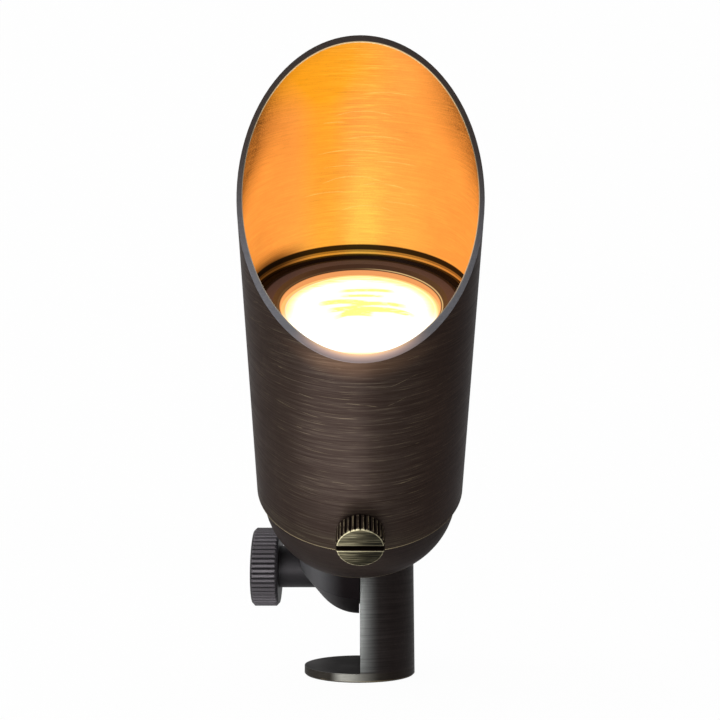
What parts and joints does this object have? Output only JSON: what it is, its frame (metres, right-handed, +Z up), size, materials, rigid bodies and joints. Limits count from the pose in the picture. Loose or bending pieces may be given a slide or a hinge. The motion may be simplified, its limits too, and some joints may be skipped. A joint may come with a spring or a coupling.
{
  "type": "garden spotlight",
  "caption": "Tubular brass garden spotlight with a slant-cut sliding shroud, lit reflector lamp and a clamped half-lap knuckle on a round foot.",
  "frame": {"origin": "centre of the foot's flat underside", "axes": "+Z up along the stem, -Y towards the side the light leans to, +X along the tilt pivot away from the knob"},
  "size_m": [0.0673, 0.1058, 0.1788],
  "materials": {
    "bronzed_brass": "dark antique bronze, finely brushed round the axis",
    "stem_bronze": "dark antique bronze, brushed across the stem",
    "worn_bronze": "olive bronze with bright worn tooth tips",
    "knob_bronze": "dark bronze, satin",
    "steel": "plain stainless",
    "black_rubber": "matt",
    "clear_rubber": "silicone, matt",
    "lens_glass": "clear, tempered",
    "lamp_aluminium": "satin",
    "board": "white solder mask",
    "phosphor": "lit",
    "optic": "clear moulded",
    "ceramic": "unglazed ceramic",
    "nylon": "natural nylon"
  },
  "bodies": {
    "stem": {"knuckle_stem": "stem_bronze", "lead_grommet": "black_rubber"},
    "head": {"housing": "bronzed_brass", "knuckle_o_ring": "black_rubber", "lens_gasket": "clear_rubber", "lens": "lens_glass", "lens_retainer": "bronzed_brass", "lamp_heatsink": "lamp_aluminium", "led_board": "board", "led_chips": "phosphor", "lamp_optic": "optic", "lamp_base": "nylon", "lamp_pins": "steel", "lamp_socket": "ceramic", "socket_bracket": "steel", "bracket_screws": "steel"},
    "shroud_seals": {"lower_o_ring": "black_rubber", "upper_o_ring": "black_rubber"},
    "shroud": {"shroud": "bronzed_brass"},
    "lock_tip": {"screw_tip": "nylon"},
    "lock_screw": {"shroud_screw": "worn_bronze"},
    "knob_washer": {"thrust_washer": "nylon"},
    "knob": {"clamp_knob": "knob_bronze", "clamp_stud": "steel"}
  },
  "joints": [
    {"name": "head_tilt", "type": "hinge", "parent": "stem", "child": "head", "pos_m": [0, 0, 0.0339], "axis": [1, 0, 0], "range_deg": [-130.5, 49.5]},
    {"name": "shroud_turn", "type": "hinge", "parent": "head", "child": "shroud_seals", "pos_m": [0, -0.05196, 0.09473], "axis": [0, -0.6494, 0.7604], "continuous": true},
    {"name": "shroud_slide", "type": "slide", "parent": "shroud_seals", "child": "shroud", "axis": [0, -0.6494, 0.7604], "range_m": [-0.002, 0.022]},
    {"name": "lock_travel", "type": "slide", "parent": "shroud", "child": "lock_tip", "axis": [0, -0.7604, -0.6494], "range_m": [0, 0.0016]},
    {"name": "lock_turn", "type": "hinge", "parent": "lock_tip", "child": "lock_screw", "pos_m": [0, -0.05486, 0.04425], "axis": [0, -0.7604, -0.6494], "range_deg": [0, 720]},
    {"name": "knob_travel", "type": "slide", "parent": "stem", "child": "knob_washer", "axis": [-1, 0, 0], "range_m": [0, 0.00187]},
    {"name": "knob_turn", "type": "hinge", "parent": "knob_washer", "child": "knob", "pos_m": [-0.03, 0, 0.0339], "axis": [-1, 0, 0], "range_deg": [0, 540]}
  ],
  "couplings": [
    {"joint": "lock_turn", "follows": "lock_travel", "rad_per_m": 7853.9},
    {"joint": "knob_turn", "follows": "knob_travel", "rad_per_m": 5026.5}
  ]
}
